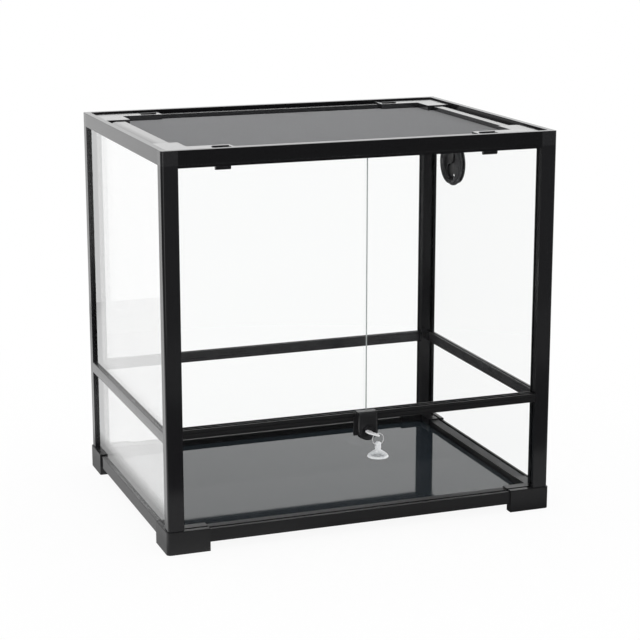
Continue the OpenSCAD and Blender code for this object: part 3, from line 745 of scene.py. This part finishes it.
def reshaped(
    name: str, node: str, body: str, move: Callable[[np.ndarray], np.ndarray]
) -> bpy.types.Object:
    """A copy of a node's mesh with its points moved, in the node's place.

    Args:
        name: the new object's name.
        node: the CAD node that it replaces.
        body: the body that it rides on.
        move: gives the new (n, 3) points for the old ones, in metres.

    Returns:
        The object, linked into the scene.
    """
    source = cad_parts[node].data
    verts = np.empty(len(source.vertices) * 3)
    source.vertices.foreach_get("co", verts)
    mesh = source.copy()
    mesh.name = name
    mesh.vertices.foreach_set("co", move(verts.reshape(-1, 3)).ravel())
    mesh.update()
    made = placed(name, mesh)
    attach(made, body)
    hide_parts(node)
    return made


# ---------- the tank ----------

DULL_BLACK = {"base": (0.009, 0.009, 0.01), "rough": 0.4, "coat": 0.0}
PALE_BLACK = {"base": (0.03, 0.03, 0.032), "rough": 0.26, "coat": 0.5}


@dataclass
class TankFrame:
    """Extruded posts and rails with the moulded pieces that join them."""

    corners: tuple[str, ...] = ("fl", "fr", "bl", "br")
    rail_black: Colour = (0.0055, 0.0055, 0.0062)
    top_black: Colour = (0.017, 0.017, 0.0185)
    foot_black: Colour = (0.01, 0.01, 0.011)
    coat: float = 0.2

    def dress(self) -> None:
        """Gives each profile lines that run its own way, and the joints a moulded grain."""
        coat = self.coat
        upright = Extruded("black_extrusion_upright", "frame_black", Axis.Z, coat=coat)
        across = Extruded(
            "black_extrusion_across", "frame_black", Axis.X, self.rail_black, coat=coat
        )
        deep = Extruded("black_extrusion_deep", "frame_black", Axis.Y, coat=coat)
        dull_across = Extruded("dull_extrusion_across", "frame_black", Axis.X, **DULL_BLACK)
        dull_deep = Extruded("dull_extrusion_deep", "frame_black", Axis.Y, **DULL_BLACK)
        top = Moulded("black_moulding", "frame_satin", self.top_black)
        foot = Moulded("foot_moulding", "frame_satin", self.foot_black, rough=0.34, coat=0.15)
        for corner in self.corners:
            upright.put_on(f"post_upper_{corner}", f"post_lower_{corner}")
            top.put_on(f"top_corner_{corner}")
            foot.put_on(f"foot_{corner}")
        across.put_on("top_rail_front", "top_rail_back")
        deep.put_on("top_rail_left", "top_rail_right", "base_rail_left")
        dull_across.put_on("base_rail_front", "base_rail_back")
        dull_deep.put_on("base_rail_right")


@dataclass
class SlimMidRails:
    """The side and back mid rails as narrow H sections that only wrap the panes, the front one
    with its foot raised, and the hidden plugs cut off flush with the posts."""

    depth: float = 9.6 * MM
    set_in: float = 4.0 * MM
    slot: float = 4.4 * MM
    slot_depth: float = 7.0 * MM
    outer_round: float = 1.0 * MM
    round_steps: int = 6
    ease: float = 0.3 * MM
    foot_band: float = 1.0 * MM
    foot_raise: float = 5.6 * MM

    def section(self, height: float) -> np.ndarray:
        """The H outline, anticlockwise from the outer foot, with quarter-circle outer edges:
        point k of an edge is centre + radius * (cos, sin) of its angle.

        Args:
            height: of the rail.

        Returns:
            (n, 2) points, inward and up.
        """
        low, high = self.set_in, self.set_in + self.slot
        rim = height - self.slot_depth
        ease = self.ease
        angle = np.linspace(math.pi / 2, math.pi, self.round_steps)
        arc = self.outer_round * (1 + np.stack([np.cos(angle), np.sin(angle)], -1))
        top = arc + [0.0, height - 2 * self.outer_round]
        foot = arc[::-1] * [1, -1] + [0.0, 2 * self.outer_round]
        lower_slot = [(low, 0.0), (low, self.slot_depth), (high, self.slot_depth), (high, 0.0)]
        back = [
            (self.depth - ease, 0.0),
            (self.depth, ease),
            (self.depth, height - ease),
            (self.depth - ease, height),
        ]
        upper_slot = [(high, height), (high, rim), (low, rim), (low, height)]
        return np.concatenate([foot, lower_slot, back, upper_slot, top])

    def rail(self, side: str, inward: Triple, run: Triple, finish: Finish) -> None:
        """One rail in the place of its CAD node.

        Args:
            side: back, left or right.
            inward: unit vector from the outer face inward.
            run: unit vector along the rail.
            finish: its finish.
        """
        low, high = (np.array(corner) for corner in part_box(f"mid_rail_{side}"))
        start = np.where(np.array(inward) < 0, high, low)
        start[2] = low[2]
        length = float(np.dot(high - low, run))
        made = extrusion(
            f"mid_rail_{side}_strip", self.section(high[2] - low[2]), start, inward, run, length
        )
        finish.put_on_piece(made)
        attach(made, "tank")
        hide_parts(f"mid_rail_{side}")

    def cut_arms(self, verts: np.ndarray) -> np.ndarray:
        """The side and back arms of the plugs end at the posts: an arm's points between the
        posts move to the post's face, where the base rails end too.

        Args:
            verts: (n, 3) points of the plugs.

        Returns:
            The moved points.
        """
        x_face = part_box("base_rail_back")[1][0]
        front_face, back_face = (corner[1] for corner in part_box("base_rail_left"))
        middle = (front_face + back_face) / 2
        at_back = verts[:, 1] > middle
        verts[:, 1] = np.where(
            at_back, np.maximum(verts[:, 1], back_face), np.minimum(verts[:, 1], front_face)
        )
        outward = np.sign(verts[:, 0]) * np.maximum(np.abs(verts[:, 0]), x_face)
        verts[:, 0] = np.where(at_back, outward, verts[:, 0])
        return verts

    def raise_foot(self, verts: np.ndarray) -> np.ndarray:
        """The lowest band of the front rail moves up as one, so the pane's slot is shallower.

        Args:
            verts: (n, 3) points of the rail.

        Returns:
            The moved points.
        """
        low = verts[:, 2] < verts[:, 2].min() + self.foot_band
        verts[:, 2] = np.where(low, verts[:, 2] + self.foot_raise, verts[:, 2])
        return verts

    def dress(self) -> None:
        """The three strips, a little duller and paler than the frame, the front rail and the
        plugs."""
        across = Extruded("strip_across", "frame_black", Axis.X, **PALE_BLACK)
        deep = Extruded("strip_deep", "frame_black", Axis.Y, **PALE_BLACK)
        self.rail("back", (0, -1, 0), (1, 0, 0), across)
        self.rail("left", (1, 0, 0), (0, 1, 0), deep)
        self.rail("right", (-1, 0, 0), (0, 1, 0), deep)
        front = reshaped("mid_rail_front_slim", "mid_rail_front", "tank", self.raise_foot)
        Extruded("dull_strip_across", "frame_black", Axis.X, **DULL_BLACK).put_on_piece(front)
        plugs = reshaped("mid_plugs_cut", "mid_plugs", "tank", self.cut_arms)
        Moulded("black_hidden_plug", "inner_black", rough=0.4, coat=0.0).put_on_piece(plugs)


@dataclass
class Glazing:
    """Fixed panes, sliding doors and the floor panel."""

    left: tuple[str, ...] = ("glass_left_upper", "glass_left_lower")
    fixed: tuple[str, ...] = (
        "glass_right_upper",
        "glass_right_lower",
        "glass_back_upper",
        "glass_back_lower",
        "glass_front_lower",
    )
    doors: dict[str, str] = field(
        default_factory=lambda: {
            "left_door": "left_sliding_door",
            "right_door": "right_sliding_door",
        }
    )
    corner: float = 2.0 * MM
    seam: float = 0.5 * MM
    corner_steps: int = 4
    edge_sharp: float = 20.0
    side_growth: float = 2.3
    floor_rise: float = 5.5 * MM
    floor_clear: float = 0.4 * MM
    foot_skin: float = 1.6 * MM

    def pane(self, name: str, low: np.ndarray, high: np.ndarray) -> bpy.types.Object:
        """A pane with round corners and seamed edges: four rings, each the outline of the
        face set in by the seam, not at all, not at all, and by the seam, at rising depth.
        A ring's point is a corner's centre plus (radius - inset) in the point's direction.

        Args:
            name: the object's name.
            low: lowest corner of its box.
            high: highest corner of its box.

        Returns:
            The pane, with its ground edge in the second slot.
        """
        quarter = np.linspace(0, math.pi / 2, self.corner_steps)
        turn = (np.arange(4)[:, None] * math.pi / 2 + quarter[None, :]).ravel()
        side = np.repeat(np.array([[1, 1], [-1, 1], [-1, -1], [1, -1]]), self.corner_steps, 0)
        middle = (low + high)[[0, 2]] / 2
        half = (high - low)[[0, 2]] / 2 - self.corner
        centres = middle + side * half
        inset = np.array([self.seam, 0.0, 0.0, self.seam])[:, None, None]
        depth = np.array([low[1], low[1] + self.seam, high[1] - self.seam, high[1]])
        way = np.stack([np.cos(turn), np.sin(turn)], -1)[None]
        flat = centres[None] + (self.corner - inset) * way
        deep = np.broadcast_to(depth[:, None], flat.shape[:2])
        verts = np.stack([flat[..., 0], deep, flat[..., 1]], -1).reshape(-1, 3)
        around = len(turn)
        edge = ring_quads(4, around)
        caps = [end_cap(0, around, False), end_cap(3 * around, around, True)]
        faces = np.concatenate([edge[:, ::-1], *caps])
        made = solid(name, verts, faces, self.edge_sharp)
        ground = (np.arange(len(faces)) < len(edge)).astype(np.int32)
        made.data.polygons.foreach_set("material_index", ground)
        return made

    def floor_board(self) -> bpy.types.Object:
        """The floor panel with a thicker middle inside a rebated edge: four rings, the outline
        of the edge below and above, then the middle's at the edge and at its top.

        Returns:
            The board, in the place of the panel.
        """
        low, high = (np.array(corner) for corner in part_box("floor_panel"))
        inner_low = np.array([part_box("base_rail_left")[1][0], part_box("base_rail_front")[1][1]])
        inner_high = np.array([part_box("base_rail_right")[0][0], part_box("base_rail_back")[0][1]])
        inset = self.foot_skin + self.floor_clear
        far_side = np.array([[0, 0], [1, 0], [1, 1], [0, 1]]) == 1
        edge = np.where(far_side, high[:2], low[:2])
        middle = np.where(far_side, inner_high - inset, inner_low + inset)
        top = high[2] + self.floor_rise
        rings = ((edge, low[2]), (edge, high[2]), (middle, high[2]), (middle, top))
        verts = np.concatenate([np.column_stack([xy, np.full(4, z)]) for xy, z in rings])
        faces = np.concatenate([ring_quads(4, 4), end_cap(0, 4, True), end_cap(12, 4, False)])
        made = solid("floor_board", verts, faces)
        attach(made, "tank")
        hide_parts("floor_panel")
        return made

    def dress(self) -> None:
        """Glass on every pane, the front door with ground edges and the rear one with polished
        edges, and the floor panel's finish."""
        glass = FloatGlass("clear_glass", "pane")
        edges = {"left_door": GroundEdge("ground_glass_edge", "pane"), "right_door": glass}
        glass.put_on(*self.fixed)
        FloatGlass("clear_side_glass", "pane", growth=self.side_growth).put_on(*self.left)
        for door, body in self.doors.items():
            low, high = (np.array(corner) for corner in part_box(door))
            made = self.pane(f"{door}_pane", low, high)
            indices = np.empty(len(made.data.polygons), np.int32)
            made.data.polygons.foreach_get("material_index", indices)
            glass.put_on_piece(made)
            made.data.materials.append(edges[door].material())
            made.data.polygons.foreach_set("material_index", indices)
            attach(made, body)
            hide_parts(door)
        GlossPanel("grey_gloss_panel", "floor").put_on_piece(self.floor_board())


@dataclass
class ScreenLid:
    """The lift-off lid: rails, corners, latches and its woven screen."""

    pitch: float = 1.45 * MM
    wire: float = 0.29 * MM
    pressed: float = 0.02 * MM
    sides: int = 6
    wire_sharp: float = 75.0
    rails: dict[str, Axis] = field(
        default_factory=lambda: {
            "lid_rail_front": Axis.X,
            "lid_rail_back": Axis.X,
            "lid_rail_left": Axis.Y,
            "lid_rail_right": Axis.Y,
        }
    )
    latches: tuple[str, ...] = ("latch_fl", "latch_fr", "latch_bl", "latch_br")

    def wires(
        self, low: np.ndarray, high: np.ndarray, along: int, level: float
    ) -> tuple[np.ndarray, np.ndarray]:
        """Straight round wires side by side: wire k is a prism whose section is a circle of
        points, lies k pitches from the first, and runs from edge to edge. The wires at the
        two sides are equally far from the sheet's edges.

        Args:
            low: the sheet's lowest corner.
            high: the sheet's highest corner.
            along: axis that the wires run along, 0 or 1.
            level: height of the wires' centres.

        Returns:
            Corners and quads.
        """
        across = 1 - along
        room = high[across] - low[across] - self.wire
        count = int(room / self.pitch) + 1
        centre = low[across] + (room - (count - 1) * self.pitch) / 2 + self.wire / 2
        centres = centre + np.arange(count) * self.pitch
        turn = np.arange(self.sides) * 2 * math.pi / self.sides + math.pi / self.sides
        ends = np.array([low[along], high[along]])
        verts = np.empty((count, 2, self.sides, 3))
        verts[..., along] = ends[None, :, None]
        verts[..., across] = centres[:, None, None] + np.cos(turn) * self.wire / 2
        verts[..., 2] = level + np.sin(turn) * self.wire / 2
        caps = [end_cap(0, self.sides, True), end_cap(self.sides, self.sides, False)]
        one = np.concatenate([ring_quads(2, self.sides), *caps])
        if along == 1:
            one = one[:, ::-1]
        faces = one[None] + (np.arange(count) * 2 * self.sides)[:, None, None]
        return verts.reshape(-1, 3), faces.reshape(-1, 4)

    def screen(self) -> bpy.types.Object:
        """Two crossing layers of wires in the place of the CAD sheet.

        Returns:
            The screen.
        """
        low, high = (np.array(corner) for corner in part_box("lid_screen"))
        middle = (low[2] + high[2]) / 2
        shift = self.wire / 2 - self.pressed
        first, first_faces = self.wires(low, high, 0, middle + shift)
        second, second_faces = self.wires(low, high, 1, middle - shift)
        verts = np.concatenate([first, second])
        faces = np.concatenate([first_faces, second_faces + len(first)])
        made = solid("lid_screen_wires", verts, faces, self.wire_sharp)
        Wire("screen_wire", "screen").put_on_piece(made)
        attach(made, "lid")
        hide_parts("lid_screen")
        return made

    def dress(self) -> None:
        """Finishes of the lid's rails, corners, cord and latches, and the screen."""
        names = {Axis.X: "lid_extrusion_across", Axis.Y: "lid_extrusion_deep"}
        for rail, axis in self.rails.items():
            Extruded(names[axis], "frame_black", axis, rough=0.12, coat=0.6).put_on(rail)
        Moulded("lid_corner_moulding", "frame_satin", rough=0.16, coat=0.8).put_on("lid_corners")
        Moulded("latch_moulding", "frame_satin", rough=0.3, coat=0.3).put_on(*self.latches)
        RubberCord("screen_cord_rubber", "cord").put_on("screen_cord")
        self.screen()


@dataclass
class DoorLock:
    """Cam lock on the front mid rail, with its key, split ring and suction cup."""

    ring_turns: float = 1.94
    ring_steps: int = 180
    ring_radial: float = 1.15 * MM
    ring_flat: float = 0.88 * MM
    ring_shift: float = 0.98 * MM
    ring_clear: float = 0.03 * MM
    ring_start: float = 0.7
    ring_around: int = 12
    ring_bulge: float = 0.72
    ring_sharp: float = 50.0
    neck_share: Span = (0.3, 0.5)
    rim_share: Span = (0.16, 0.08)

    def split_ring(self) -> bpy.types.Object:
        """A wire of rounded section on a shallow helix: the centre of the section goes round
        the ring's axis twice while it moves along the axis by half the shift a turn. The
        section is a superellipse: half its width times the cosine raised to the bulge.

        Returns:
            The ring, in the place of the plain one.
        """
        around = self.ring_around
        low, high = (np.array(corner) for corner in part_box("key_ring"))
        centre = (low + high) / 2
        radius = (high[0] - low[0]) / 2 - self.ring_radial / 2 - self.ring_clear
        t = np.linspace(0, 1, self.ring_steps)[:, None]
        angle = 2 * math.pi * self.ring_turns * t + self.ring_start
        slide = (t - 0.5) * self.ring_turns * self.ring_shift * 0.5
        turn = np.linspace(0, 2 * math.pi, around, endpoint=False)[None, :]
        wave = np.stack([np.cos(turn), np.sin(turn)])
        bulged = np.sign(wave) * np.abs(wave) ** self.ring_bulge
        reach = radius + bulged[0] * self.ring_radial / 2
        flat = bulged[1] * self.ring_flat / 2
        places = [reach * np.cos(angle), slide + flat, reach * np.sin(angle)]
        verts = (np.stack(places, -1) + centre).reshape(-1, 3)
        last = (self.ring_steps - 1) * around
        caps = [end_cap(0, around, True), end_cap(last, around, False)]
        faces = np.concatenate([ring_quads(self.ring_steps, around), *caps])
        made = solid("key_split_ring", verts, faces, self.ring_sharp)
        bright = Plated("ring_plate", "lock_metal", (0.93, 0.93, 0.94), rough=0.12, metal=0.5)
        bright.put_on_piece(made)
        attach(made, "ring")
        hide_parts("key_ring")
        return made

    def dress(self) -> None:
        """Finishes of the lock's pieces and the split ring."""
        Moulded("lock_moulding", "frame_satin", rough=0.3, coat=0.3).put_on("lock_housing")
        dark, rubbed = (0.06, 0.06, 0.063), (0.1, 0.1, 0.1)
        Plated("black_plug_plate", "lock_black", dark, rubbed, rough=0.3).put_on("lock_plug")
        Plated("bolt_plate", "lock_metal").put_on("lock_bolt")
        pale, worn = (0.95, 0.95, 0.96), (0.7, 0.7, 0.71)
        Plated("key_plate", "lock_metal", pale, worn, rough=0.3, metal=0.2).put_on("key")
        foot, head = (corner[2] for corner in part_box("suction_cup"))
        neck = tuple(foot + share * (head - foot) for share in self.neck_share)
        rim = tuple(foot + share * (head - foot) for share in self.rim_share)
        ClearVinyl("clear_vinyl", "clear_cup", neck=neck, rim=rim).put_on("suction_cup")
        self.split_ring()


@dataclass
class CablePort:
    """Round port in the right pane with its turning cover."""

    # painted light: the collar's grey is paler than its black plastic, for the lit look of its
    # inner wall
    collar_painted_light_grey: Colour = (0.055, 0.055, 0.058)

    def dress(self) -> None:
        """Moulded finishes, the cover a little duller than its collar, whose grey is painted light.
        """
        Moulded("port_moulding", "frame_satin", self.collar_painted_light_grey, rough=0.26).put_on("port_body")
        Moulded("port_cover_moulding", "frame_satin", rough=0.36, coat=0.1).put_on("port_cover")


# ---------- the studio ----------


@dataclass
class Studio:
    """Camera, pale floor, one soft lamp and a white surround. What the gloss mirrors is cut
    into zones: a pair of numbers is where a zone starts and where it is full, in metres on the
    floor and as parts of a direction in the surround, and a slant turns a zone's edge."""

    eye: Triple = (-0.9795, -2.6530, 0.9554)
    yaw: float = 0.3556
    pitch: float = -0.2363
    focal_pixels: float = 1884.48
    sensor: float = 36.0
    floor_white: float = 0.92
    floor_half: float = 1.4
    plain_from: Span = (0.45, 1.1)
    paper: tuple[Colour, Colour] = ((0.9, 0.9, 0.9), (0.93, 0.93, 0.93))
    behind_edge: Span = (-0.27, -0.21)
    left_slant: float = 0.3
    left_edge: Span = (-0.11, -0.18)
    beside: Span = (-0.333, -0.35)
    near_ahead: Span = (-0.48, -0.45)
    far_ahead: Span = (-0.93, -1.0)
    near_level: float = 0.32
    far_level: float = 0.16
    near_share: float = 0.45
    way_slant: float = 0.36
    way_edge: Span = (-0.03, 0.03)
    band_top: Span = (0.445, 0.385)
    band_near: Span = (-0.3, 0.1)
    strip_middle: float = -0.35
    strip_side: Span = (0.25, 0.2)
    strip_near: Span = (-0.5, -0.6)
    dim: float = 0.07
    softbox_place: Triple = (0.0, 0.3, 2.6)
    softbox_aim: Triple = (0.0, 0.0, 0.3)
    softbox_size: Span = (2.0, 1.4)
    softbox_level: float = 0.8

    def camera(self) -> None:
        """The camera, pitched down, with no roll and no shift."""
        data = bpy.data.cameras.new("camera")
        data.sensor_width = self.sensor
        data.lens = self.focal_pixels * self.sensor / IMAGE_SIDE
        made = placed("camera", data)
        made.location = self.eye
        made.rotation_euler = (math.pi / 2 + self.pitch, 0.0, -self.yaw)
        bpy.context.scene.camera = made

    def floor(self) -> None:
        """A pale floor that keeps the shadow near the tank and turns to plain white further
        out. In gloss it is bright at the back left, dark at the back right, and in front it is
        grey near the tank, black further off and dark grey beyond."""
        half = self.floor_half
        verts = np.array([(-half, -half, 0), (half, -half, 0), (half, half, 0), (-half, half, 0)])
        made = solid("studio_floor", verts, np.array([[0, 1, 2, 3]]))
        paper = bpy.data.materials.new("studio_paper")
        tree = Tree(paper)
        away = tree.node("ShaderNodeVectorMath", {"operation": "LENGTH"}, i0=tree.point())
        far = Sock(tree, away.outputs["Value"]).spread(*self.plain_from)
        grain = tree.noise(tree.point(), 300.0)
        shader = tree.node(
            "ShaderNodeBsdfPrincipled",
            {},
            Base_Color=tree.mix(grain, *self.paper),
            Roughness=0.9,
            Specular_IOR_Level=0.1,
        )
        ray = tree.node("ShaderNodeLightPath", {})
        place = tree.node("ShaderNodeSeparateXYZ", {}, Vector=tree.point())
        x, y = Sock(tree, place.outputs["X"]), Sock(tree, place.outputs["Y"])
        behind = y.spread(*self.behind_edge)
        left = (x + y * self.left_slant).spread(*self.left_edge)
        left = left * (x.spread(*self.beside) * (1.0 - self.near_share) + self.near_share)
        ahead = y.spread(*self.near_ahead) * self.near_level
        ahead = ahead + y.spread(*self.far_ahead) * self.far_level
        glossy = Sock(tree, ray.outputs["Is Glossy Ray"])
        seen = behind * (left * (1.0 - self.dim) + self.dim) + (1.0 - behind) * ahead
        level = 1.0 - glossy + glossy * seen
        white = tree.node("ShaderNodeEmission", {}, Color=tree.mix(level, BLACK, WHITE))
        straight = Sock(tree, ray.outputs["Is Camera Ray"]) + Sock(
            tree, ray.outputs["Is Transmission Ray"]
        )
        blend = straight.clamp() * (far * (1.0 - self.floor_white) + self.floor_white) + glossy
        both = tree.node(
            "ShaderNodeMixShader", {}, i0=blend, i1=shader.outputs[0], i2=white.outputs[0]
        )
        tree.surface(both.outputs[0])
        made.data.materials.append(paper)

    def surround(self) -> None:
        """White seen straight and through glass. In gloss it is a bright band behind the tank,
        low down and bounded at its left, a bright strip ahead and to the left, and a dim room
        elsewhere."""
        world = bpy.data.worlds.new("studio")
        bpy.context.scene.world = world
        tree = Tree(world)
        way = tree.node("ShaderNodeTexCoord", {}).outputs["Generated"]
        split = tree.node("ShaderNodeSeparateXYZ", {}, Vector=way)
        x, y = Sock(tree, split.outputs["X"]), Sock(tree, split.outputs["Y"])
        low = Sock(tree, split.outputs["Z"]).spread(*self.band_top)
        right = (x + y * self.way_slant).spread(*self.way_edge)
        band = y.spread(*self.band_near) * right * low
        aside = tree.math("ABSOLUTE", x - self.strip_middle, 0.0)
        strip = aside.spread(*self.strip_side) * y.spread(*self.strip_near)
        ray = tree.node("ShaderNodeLightPath", {})
        glossy = Sock(tree, ray.outputs["Is Glossy Ray"])
        seen = (band + strip).clamp() * (1.0 - self.dim) + self.dim
        level = 1.0 - glossy + glossy * seen
        back = tree.node("ShaderNodeBackground", {}, Color=tree.mix(level, BLACK, WHITE))
        tree.surface(back.outputs[0], "ShaderNodeOutputWorld")

    def softbox(self) -> None:
        """One soft rectangular lamp overhead. Its power is level * pi * area, so that its face
        is as bright as white paper where the level is 1."""
        wide, deep = self.softbox_size
        data = bpy.data.lights.new("top_softbox", "AREA")
        data.shape = "RECTANGLE"
        data.size, data.size_y = wide, deep
        data.energy = self.softbox_level * math.pi * wide * deep
        made = placed("top_softbox", data)
        made.location = self.softbox_place
        facing = Vector(self.softbox_place) - Vector(self.softbox_aim)
        made.rotation_euler = facing.to_track_quat("Z", "Y").to_euler()
        made.visible_camera = False

    def build(self) -> None:
        """The whole studio."""
        self.camera()
        self.floor()
        self.surround()
        self.softbox()
        bpy.context.scene.view_settings.view_transform = "Standard"


def main() -> None:
    """Dresses the tank in order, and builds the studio."""
    logging.basicConfig(level=logging.INFO, format="%(message)s")
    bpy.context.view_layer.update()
    for part in (TankFrame(), SlimMidRails(), Glazing(), ScreenLid(), DoorLock(), CablePort()):
        part.dress()
        log.info("%s dressed", type(part).__name__)
    Studio().build()


if __name__ == "__main__":
    main()
